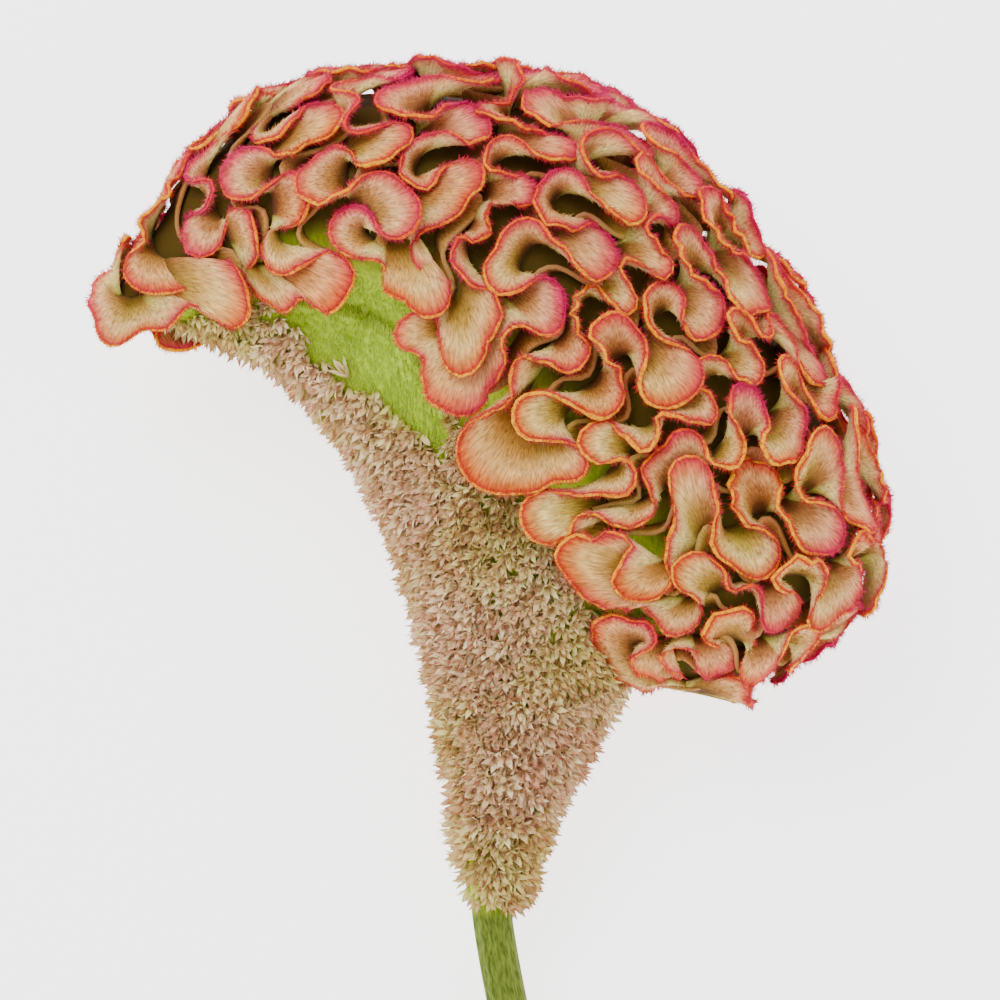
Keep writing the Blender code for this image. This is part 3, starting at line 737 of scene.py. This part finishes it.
# Velvet: fine short hairs in the tissue's colours, its painted shade and sheen included, which
# cover both faces of the folds and all lean towards the rim, so that the faces look brushed.
VELVET_HAIRS = 37000
VELVET_LENGTH = (0.8, 1.5)
VELVET_WIDTH = 0.085
VELVET_FROM = 0.30
VELVET_CROWDING = 0.8
VELVET_STAND = (0.35, 0.9)
VELVET_SINK = 0.05
VELVET_SCATTER = 0.22
for name, sign, face_side, seed in (("crest_velvet_a", 1, 0, 41), ("crest_velvet_b", -1, 1, 42)):
    rng = np.random.default_rng(seed)
    t = rng.uniform(VELVET_FROM, 1.0, VELVET_HAIRS) ** VELVET_CROWDING * (levels - PICK_MARGIN)
    s = rng.random(VELVET_HAIRS) * (samples - PICK_MARGIN)
    k, i = t.astype(int), s.astype(int)
    ft, fi = (t % 1.0)[:, None], (s % 1.0)[:, None]
    face = middle + sign * side * half_wall
    root = ((face[k, i] * (1 - fi) + face[k, i + 1] * fi) * (1 - ft)
            + (face[k + 1, i] * (1 - fi) + face[k + 1, i + 1] * fi) * ft)
    normal = sign * side[k, i]
    direction = unit(normal * rng.uniform(*VELVET_STAND, (VELVET_HAIRS, 1)) + rise[k, i]
                     + along[k, i] * rng.normal(0, VELVET_SCATTER, (VELVET_HAIRS, 1)))
    depth = np.interp(t, np.arange(levels), SHEET_LEVELS)
    length = rng.uniform(*VELVET_LENGTH, VELVET_HAIRS)
    points, faces, _ = hairs_on(root - normal * VELVET_SINK, direction, length, VELVET_WIDTH)
    shade_of_hair = rng.random(VELVET_HAIRS)
    flow = np.stack([run[i], depth * FLOW_HEIGHT, rng.uniform(0, 60, VELVET_HAIRS)], 1)
    hair_layers = {
        "depth": np.repeat(depth, 4),
        "outer": np.repeat(outer_face[face_side][i], 4),
        "tone": np.repeat(tone[i], 4),
        "rosy": np.repeat(rosy[i], 4),
        "hair": np.repeat(shade_of_hair, 4),
        "flow": np.repeat(flow, 4, axis=0),
    }
    made(name, points, faces, hair_layers, velvet, "crest")

# Stem: a green ribbed stalk that widens into a flat fan, with the tissue that fills the
# crest. It is lime green where it shows below the folds, near black with painted shade where
# the folds cover it, and pale on the cut end of the stalk.
STALK_RADIUS = 4.3
STALK_END = (11.0, -150.0)
STALK_TOP = (-2.0, -89.0)
STALK_BEND = 1.25
STALK_LEAN = 0.22
STALK_TAPER = 0.04
STALK_RINGS = 40
CUT_SHARES = (0.02, 0.94)
RIBS = 11
RIB_DEPTH = 0.035
RIB_TWIST = 0.6
FAN_LEFT = (-13.2, 38.5)
FAN_MIDDLE = (-4.4, -30.8)
FAN_RIGHT = (7.7, -66.0)
FAN_DEPTH = 13.0
FAN_RINGS = 50
FAN_U = 0.5
FAN_U_REACH = 0.475
FAN_BLUR = (-0.2, -0.1, 0.0, 0.1, 0.2)
FAN_BLUNT = 0.15
FAN_END = (0.3, 0.7)
MARGIN = 12.0
STEM_SIDES = 72
CORE_RINGS = 150
CORE_ENDS = (0.03, 0.985)
CORE_SPAN = 0.955
CORE_ROUNDING = 0.03
FULLER = 0.09
FULLER_TO = 6.0
FULLER_FADE = 24.0
FULLER_RISE = 6
BARE_FROM = 26.0
BARE_FADE = 22.0
STALK_COLOUR_BELOW = -84.0
STALK_COLOUR_FADE = 8.0
FLOW_AROUND = 6
LIME = ((0.3, (0.33, 0.54, 0.008)), (0.6, (0.60, 0.83, 0.03)), (0.8, (0.72, 0.90, 0.12)))
STALK_GREEN = ((0.3, (0.05, 0.08, 0.008)), (0.7, (0.20, 0.26, 0.03)))
# Painted shade for the core where the folds cover it, redder or more olive by place.
CORE_SHADE_COLOURS = ((0.06, 0.02, 0.006), (0.10, 0.07, 0.008))
CUT_COLOUR = (0.62, 0.68, 0.28)


def fan_point(v, a):
    """Surface of the fan; v runs from stalk to crest margin, a round it from the right."""
    c, s = np.cos(a), np.sin(a)
    foot = np.stack([STALK_TOP[0] + STALK_RADIUS * c, np.full_like(a, STALK_TOP[1]),
                     STALK_RADIUS * s], 1)
    left, mid, right = c * (c - 1) / 2, 1 - c * c, c * (c + 1) / 2
    ctrl = [FAN_LEFT[k] * left + FAN_MIDDLE[k] * mid + FAN_RIGHT[k] * right for k in (0, 1)]
    control = np.stack([ctrl[0], ctrl[1], FAN_DEPTH * s], 1)
    top = np.zeros_like(foot)
    for shift in FAN_BLUR:
        near = np.clip(c + shift, -1, 1)
        u = FAN_U + FAN_U_REACH * near
        end = CREST_LIMIT_END * np.clip((near - FAN_END[0]) / FAN_END[1], 0, 1) ** 2
        top += on_crest(u, np.radians(CREST_LIMIT + MARGIN + end), core_level(u)) / len(FAN_BLUR)
    top[:, 2] *= s / np.sqrt((s * s + FAN_BLUNT) / (1 + FAN_BLUNT))
    v = v[:, None]
    return foot * (1 - v) ** 2 + 2 * control * v * (1 - v) + top * v * v


def fan_normal(v, a):
    """Outward normals of the fan."""
    dv = fan_point(v + 1e-3, a) - fan_point(v - 1e-3, a)
    da = fan_point(v, a + 1e-3) - fan_point(v, a - 1e-3)
    return -unit(np.cross(da, dv))


def stalk_rings(a):
    """Rings of the stalk from its cut face to the fan, and of the fan to the crest."""
    rings = []
    for t in np.linspace(0, 1, STALK_RINGS + 1)[:-1]:
        x = STALK_END[0] + (STALK_TOP[0] - STALK_END[0]) * (1 - (1 - t) ** STALK_BEND)
        y = STALK_END[1] + (STALK_TOP[1] - STALK_END[1]) * t
        lean = STALK_LEAN * (1 - t)
        r = (STALK_RADIUS * (1 + STALK_TAPER - STALK_TAPER * t)
             * (1 + RIB_DEPTH * np.cos(RIBS * a + RIB_TWIST * t)))
        rings.append(np.stack([x + r * np.cos(a) * math.cos(lean),
                               y + r * np.cos(a) * math.sin(lean), r * np.sin(a)], 1))
    for v in np.linspace(0, 1.0, FAN_RINGS):
        rings.append(fan_point(np.full(len(a), v), a))
    cut_middle = rings[0].mean(0)
    return [cut_middle + (rings[0] - cut_middle) * share for share in CUT_SHARES] + rings


around_stem = 2 * np.pi * np.arange(STEM_SIDES) / STEM_SIDES
rings = stalk_rings(around_stem)
stalk_points = np.concatenate(rings)
stalk_faces = grid_faces(len(rings), STEM_SIDES, closed=True)

core_u = CORE_ENDS[0] + CORE_SPAN * (0.5 - 0.5 * np.cos(np.linspace(0, np.pi, CORE_RINGS)))
from_top = np.abs((around_stem + np.pi) % (2 * np.pi) - np.pi)
fuller = (np.radians(CREST_LIMIT + FULLER_TO) - from_top) / np.radians(FULLER_FADE)
fuller = FULLER * np.clip(fuller, 0, 1)
from_end = np.minimum(core_u - CORE_ENDS[0], CORE_ENDS[1] - core_u) / CORE_ROUNDING
rounded = np.sqrt(1.0004 - np.clip(1 - from_end, 0, 1) ** 2)
core_points = np.concatenate([
    on_crest(np.full(STEM_SIDES, u), around_stem,
             (core_level(np.array([u]))[0] + fuller * min(1, FULLER_RISE * u)) * share)
    for u, share in zip(core_u, rounded)])
core_faces = grid_faces(CORE_RINGS, STEM_SIDES, closed=True, first=len(stalk_points))[:, ::-1]
bare = np.tile(from_top, CORE_RINGS) - np.radians(CREST_LIMIT - BARE_FROM)
bare = np.clip(bare / np.radians(BARE_FADE), 0, 1)

green_points = np.concatenate([stalk_points, core_points])
cut = np.zeros(len(green_points))
cut[:len(CUT_SHARES) * STEM_SIDES] = 1.0
below = STALK_COLOUR_BELOW - stalk_points[:, 1]
stalk_flow = np.stack([np.tile(around_stem * FLOW_AROUND, len(rings)), stalk_points[:, 1],
                       stalk_points[:, 2]], 1)
green_layers = {
    "cut": cut,
    "bare": np.concatenate([np.ones(len(stalk_points)), bare]),
    "stalk": np.concatenate([np.clip(below / STALK_COLOUR_FADE, 0, 1), np.zeros(len(core_points))]),
    "flow": np.concatenate([stalk_flow, core_points]),
    "warm": warm_value(green_points),
}
green, green_tree, green_shader = new_material("green_stem", 0.7, 0.05)
green_flow = value_of(green_tree, "flow", vector=True)
grain = noise(green_tree, green_flow, 1.0, 5.0, (1.3, 0.45, 1.3))
lime = ramp(green_tree, grain, LIME)
# Painted shade: the core under the folds is near black, reddish to olive by its place on the head.
shaded_core = mixed(green_tree, value_of(green_tree, "warm"), *CORE_SHADE_COLOURS)
core_green = mixed(green_tree, value_of(green_tree, "bare"), shaded_core, lime)
stalk_green = ramp(green_tree, grain, STALK_GREEN)
whole_green = mixed(green_tree, value_of(green_tree, "stalk"), core_green, stalk_green)
with_cut = mixed(green_tree, value_of(green_tree, "cut"), whole_green, CUT_COLOUR)
green_tree.links.new(with_cut, green_shader.inputs["Base Color"])
bumped(green_tree, green_shader, grain, 0.5, 0.0004)
made("stem_green", green_points, np.concatenate([stalk_faces, core_faces]), green_layers,
     green, "stem")

# Down: soft lime hairs on the bare flank, where neither folds nor florets cover the stem.
# They grow from the top of the fan and the core's lower side and bridge the crease between.
DOWN_HAIRS = 14000
DOWN_LENGTH = (1.4, 2.6)
DOWN_WIDTH = 0.13
DOWN_AROUND = (0.6, 2.6)
DOWN_ON_FAN = 0.6
DOWN_BRIDGING = 0.4
DOWN_ON_BRIDGE = (0.965, 1.0)
DOWN_OVER_FAN = (0.78, 1.0)
DOWN_CORE_FROM = 22.0
DOWN_STAND = 0.55
DOWN_SCATTER = 0.18
DOWN_ABOVE_CORE = 0.02
DOWN_LEAN = (0.15, -0.75, 0.0)
DOWN_LEAN_BRIDGING = (0.25, 0.75, 0.0)
DOWN_COLOURS = ((0.34, 0.55, 0.008), (0.78, 0.92, 0.14))
rng = np.random.default_rng(61)
around = rng.uniform(*DOWN_AROUND, DOWN_HAIRS)
on_fan = rng.random(DOWN_HAIRS) < DOWN_ON_FAN
bridge = rng.random(DOWN_HAIRS) < DOWN_BRIDGING
v_fan = np.where(bridge, rng.uniform(*DOWN_ON_BRIDGE, DOWN_HAIRS),
                 rng.uniform(*DOWN_OVER_FAN, DOWN_HAIRS))
fan_root, fan_out = fan_point(v_fan, around), fan_normal(v_fan, around)
u_core = FAN_U + FAN_U_REACH * np.cos(around)
phi_core = rng.uniform(CREST_LIMIT - DOWN_CORE_FROM, CREST_LIMIT + MARGIN, DOWN_HAIRS)
phi_core = np.radians(phi_core)
core_root = on_crest(u_core, phi_core, core_level(u_core) + DOWN_ABOVE_CORE)
core_out = crest_up(np.stack([u_core, phi_core], 1))[0]
root = np.where(on_fan[:, None], fan_root, core_root)
out = np.where(on_fan[:, None], fan_out, core_out)
lean = np.where((bridge & on_fan)[:, None], DOWN_LEAN_BRIDGING, DOWN_LEAN)
direction = unit(out * DOWN_STAND + rng.normal(0, DOWN_SCATTER, (DOWN_HAIRS, 3)) + lean)
length = rng.uniform(*DOWN_LENGTH, DOWN_HAIRS)
points, faces, tip = hairs_on(root, direction, length, DOWN_WIDTH)
lime_down, down_tree, down_shader = new_material("lime_down", 0.8)
down_tree.links.new(mixed(down_tree, value_of(down_tree, "tip"), *DOWN_COLOURS),
                    down_shader.inputs["Base Color"])
made("stem_down", points, faces, {"tip": tip}, lime_down, "stem")

# Florets: thousands of small flowers that cover the fan in close rows, each with five narrow
# papery segments, cream with a green base and rusty pink tips, and two thread-like styles.
# They stand out from the fan and droop towards the stalk.
FLORET_GAP = 2.35
FLORET_ROWS = (0.012, 0.985)
FLORET_ROW_GAP = 0.86
FLORET_LEAST = 8
FLORET_LENGTH = (4.0, 6.6)
FLORET_SINK = 0.3
SHORTER_AT = (0, 0.08, 0.85, 1)
SHORTER_BY = (0.75, 1, 0.9, 0.6)
DROOP = 0.42
DROOP_SCATTER = 0.3
AIM_SCATTER = 0.26
PLACE_SCATTER = 0.3
ROW_SCATTER = 0.35
SHADES = (-0.2, 1.1)
BARE_AROUND = 2.0
BARE_HALF_WIDTH = 0.30
BARE_ABOVE = 0.80
# One floret of unit height: height, distance from its axis and half width of a segment.
SEGMENTS = 5
SEGMENT_ROWS = ((0.0, 0.05, 0.05), (0.40, 0.16, 0.13), (0.75, 0.30, 0.11))
SEGMENT_TIP = (1.0, 0.46)
SEGMENT_CUP = 0.03
STYLE_HEIGHTS = (1.12, 1.22)
STYLE_RADIUS = 0.035
STYLE_FOOT = 0.2
STYLE_LEAN = 0.12
CREAM = ((0.0, (0.24, 0.38, 0.02)), (0.25, (0.70, 0.62, 0.19)), (0.5, (0.93, 0.78, 0.42)),
         (0.86, (0.95, 0.81, 0.52)), (1.0, (0.86, 0.52, 0.34)))
RUSTY = ((0.0, (0.22, 0.30, 0.03)), (0.25, (0.62, 0.52, 0.19)), (0.6, (0.82, 0.62, 0.34)),
         (0.80, (0.76, 0.46, 0.26)), (0.92, (0.54, 0.17, 0.10)), (1.0, (0.42, 0.08, 0.06)))
FRESH = (0.88, 0.97, 0.60)
STYLE_COLOURS = ((0.66, 0.40, 0.25), (0.38, 0.06, 0.05))


def one_floret():
    """Unit floret along +z: points, faces, 0 at its root to 1 at its tips, 1 on a style."""
    points, faces, tip, style = [], [], [], []
    for k in range(SEGMENTS):
        a = 2 * math.pi * k / SEGMENTS
        outward = np.array([math.cos(a), math.sin(a), 0.0])
        sideways = np.array([-math.sin(a), math.cos(a), 0.0])
        f = len(points)
        for z, r, w in SEGMENT_ROWS:
            for s in (-1, 1):
                points.append(outward * (r - SEGMENT_CUP) + sideways * w * s + (0, 0, z))
                tip.append(z)
        points.append(outward * SEGMENT_TIP[1] + (0, 0, SEGMENT_TIP[0]))
        tip.append(1.0)
        style += [0.0] * (len(points) - f)
        faces += [(f, f + 1, f + 3), (f, f + 3, f + 2), (f + 2, f + 3, f + 5),
                  (f + 2, f + 5, f + 4), (f + 4, f + 5, f + 6)]
    for k in range(len(STYLE_HEIGHTS)):
        a = 1.0 + math.pi * k
        lean = np.array([math.cos(a), math.sin(a), 0.0]) * STYLE_LEAN
        f = len(points)
        for s in range(3):
            b = 2 * math.pi * s / 3
            points.append(np.array([STYLE_RADIUS * math.cos(b), STYLE_RADIUS * math.sin(b),
                                    STYLE_FOOT]))
            tip.append(STYLE_FOOT)
        points.append(lean + (0, 0, STYLE_HEIGHTS[k]))
        tip.append(1.0)
        style += [1.0] * 4
        faces += [(f, f + 1, f + 3), (f + 1, f + 2, f + 3), (f + 2, f, f + 3)]
    return np.array(points), np.array(faces), np.array(tip), np.array(style)


def floret_places():
    """Places over the fan about one floret apart, by rows that suit its girth."""
    places = []
    rng = np.random.default_rng(51)
    ring = 2 * np.pi * np.arange(181) / 180
    v = FLORET_ROWS[0]
    while v < FLORET_ROWS[1]:
        p = fan_point(np.full(len(ring), v), ring)
        girth = np.r_[0, np.cumsum(np.linalg.norm(np.diff(p, axis=0), axis=1))]
        count = max(FLORET_LEAST, int(girth[-1] / FLORET_GAP))
        place = np.arange(count) + rng.uniform(-PLACE_SCATTER, PLACE_SCATTER, count)
        s = place / count * girth[-1] % girth[-1]
        a = np.interp(s, girth, ring)
        step = np.linalg.norm(fan_point(np.full(len(ring), v + 0.01), ring) - p, axis=1) / 0.01
        dv = FLORET_GAP * FLORET_ROW_GAP / np.percentile(step, 60)
        offset = rng.uniform(-ROW_SCATTER, ROW_SCATTER, count) * dv
        places.append(np.stack([v + offset, a], 1))
        v += dv
    places = np.concatenate(places)
    return np.stack([np.clip(places[:, 0], 0.004, 0.99), places[:, 1]], 1)


spots = floret_places()
in_bare_flank = np.abs(spots[:, 1] - BARE_AROUND) < BARE_HALF_WIDTH
spots = spots[~(in_bare_flank & (spots[:, 0] > BARE_ABOVE))]
at_point, at_normal = fan_point(*spots.T), fan_normal(*spots.T)
toward_stalk = -unit(fan_point(spots[:, 0] + 1e-3, spots[:, 1]) - at_point)
rng = np.random.default_rng(52)
aim = unit(at_normal + toward_stalk * (DROOP + rng.normal(0, DROOP_SCATTER, len(spots)))[:, None]
           + rng.normal(0, AIM_SCATTER, (len(spots), 3)))
across = unit(np.cross(aim, rng.normal(0, 1, (len(spots), 3))))
other = np.cross(aim, across)
size = rng.uniform(*FLORET_LENGTH, len(spots)) * np.interp(spots[:, 0], SHORTER_AT, SHORTER_BY)
unit_points, unit_faces, unit_tip, unit_style = one_floret()
floret_points = (at_point[:, None] - at_normal[:, None] * FLORET_SINK + size[:, None, None]
                 * (across[:, None] * unit_points[:, 0:1] + other[:, None] * unit_points[:, 1:2]
                    + aim[:, None] * unit_points[:, 2:3]))
shade = np.clip(rng.uniform(*SHADES, len(spots)), 0, 1)
patches = np.sin(at_point @ (0.13, 0.07, 0.11)) + np.sin(at_point @ (-0.09, 0.16, 0.05) + 1.7)
fresh = np.clip(0.25 + 0.45 * patches + rng.normal(0, 0.2, len(spots)), 0, 0.9)

papery, papery_tree, papery_shader = new_material("papery_florets", 0.85)
cream = ramp(papery_tree, value_of(papery_tree, "tip"), CREAM)
rusty = ramp(papery_tree, value_of(papery_tree, "tip"), RUSTY)
tinted = mixed(papery_tree, value_of(papery_tree, "shade"), cream, rusty)
greener = mixed(papery_tree, 1.0, tinted, FRESH, "MULTIPLY")
tinted = mixed(papery_tree, value_of(papery_tree, "fresh"), tinted, greener)
thread = mixed(papery_tree, value_of(papery_tree, "tip"), *STYLE_COLOURS)
papery_tree.links.new(mixed(papery_tree, value_of(papery_tree, "style"), tinted, thread),
                      papery_shader.inputs["Base Color"])
in_front = at_normal[:, 2] >= 0
for name, keep in (("florets_front", in_front), ("florets_back", ~in_front)):
    some = floret_points[keep]
    count, corners = some.shape[:2]
    faces = (unit_faces[None] + corners * np.arange(count)[:, None, None]).reshape(-1, 3)
    floret_layers = {
        "tip": np.tile(unit_tip, count),
        "style": np.tile(unit_style, count),
        "shade": np.repeat(shade[keep], corners),
        "fresh": np.repeat(fresh[keep], corners),
    }
    made(name, some.reshape(-1, 3), faces, floret_layers, papery, "florets")

# Table: a plain pale surface under the flower. It glows faintly so that the ground stays near
# white, and the pale room round it lights the flower softly from all sides.
TABLE_SIZE = 6.0
TABLE_LOOK = (("Base Color", (0.92, 0.92, 0.92, 1)), ("Roughness", 0.9),
              ("Emission Color", (1, 1, 1, 1)), ("Emission Strength", 2.6))
ROOM_LOOK = (("Color", (1, 1, 1, 1)), ("Strength", 0.9))
bpy.ops.mesh.primitive_plane_add(size=TABLE_SIZE, location=(0, 0, 0))
table = bpy.context.object
table.name = "table"
pale = bpy.data.materials.new("pale_table")
pale.use_nodes = True
for label, value in TABLE_LOOK:
    pale.node_tree.nodes["Principled BSDF"].inputs[label].default_value = value
table.data.materials.append(pale)
world = bpy.data.worlds.new("studio")
bpy.context.scene.world = world
world.use_nodes = True
for label, value in ROOM_LOOK:
    world.node_tree.nodes["Background"].inputs[label].default_value = value

# Camera: it looks straight at the flower's front, so from steeply above as the flower lies.
# A long lens keeps the outline as the drawing has it.
VIEW_WIDTH = 220.0
VIEW_DISTANCE = 1300.0
SENSOR = 36.0
target = laid(np.zeros((1, 3)))[0]
toward, upward = turned([(0, 0, 1), (0, 1, 0)])
camera_data = bpy.data.cameras.new("camera")
camera_data.sensor_width = SENSOR
camera_data.lens = SENSOR * VIEW_DISTANCE / VIEW_WIDTH
camera_data.clip_end = 20.0
camera = bpy.data.objects.new("camera", camera_data)
bpy.context.scene.collection.objects.link(camera)
camera.location = target + toward * VIEW_DISTANCE * MM
right = np.cross(upward, toward)
camera.rotation_euler = Matrix([list(row) for row in zip(right, upward, toward)]).to_euler()
bpy.context.scene.camera = camera

# Lamps: two soft square lamps that hang over the table and face the middle of the head, a
# key at the upper left and a weaker fill at the lower right. Each has a place, power and size.
LAMPS = (("key", (-0.5, 0.5, 1.2), 14.0, 0.7), ("fill", (0.7, -0.4, 0.9), 4.0, 1.0))
LAMP_TARGET = (0, 0, 0.04)
for name, place, power, size in LAMPS:
    lamp_data = bpy.data.lights.new(name, "AREA")
    lamp_data.energy = power
    lamp_data.size = size
    lamp = bpy.data.objects.new(name, lamp_data)
    bpy.context.scene.collection.objects.link(lamp)
    lamp.location = place
    lamp.rotation_euler = (Vector(LAMP_TARGET) - lamp.location).to_track_quat("-Z", "Y").to_euler()
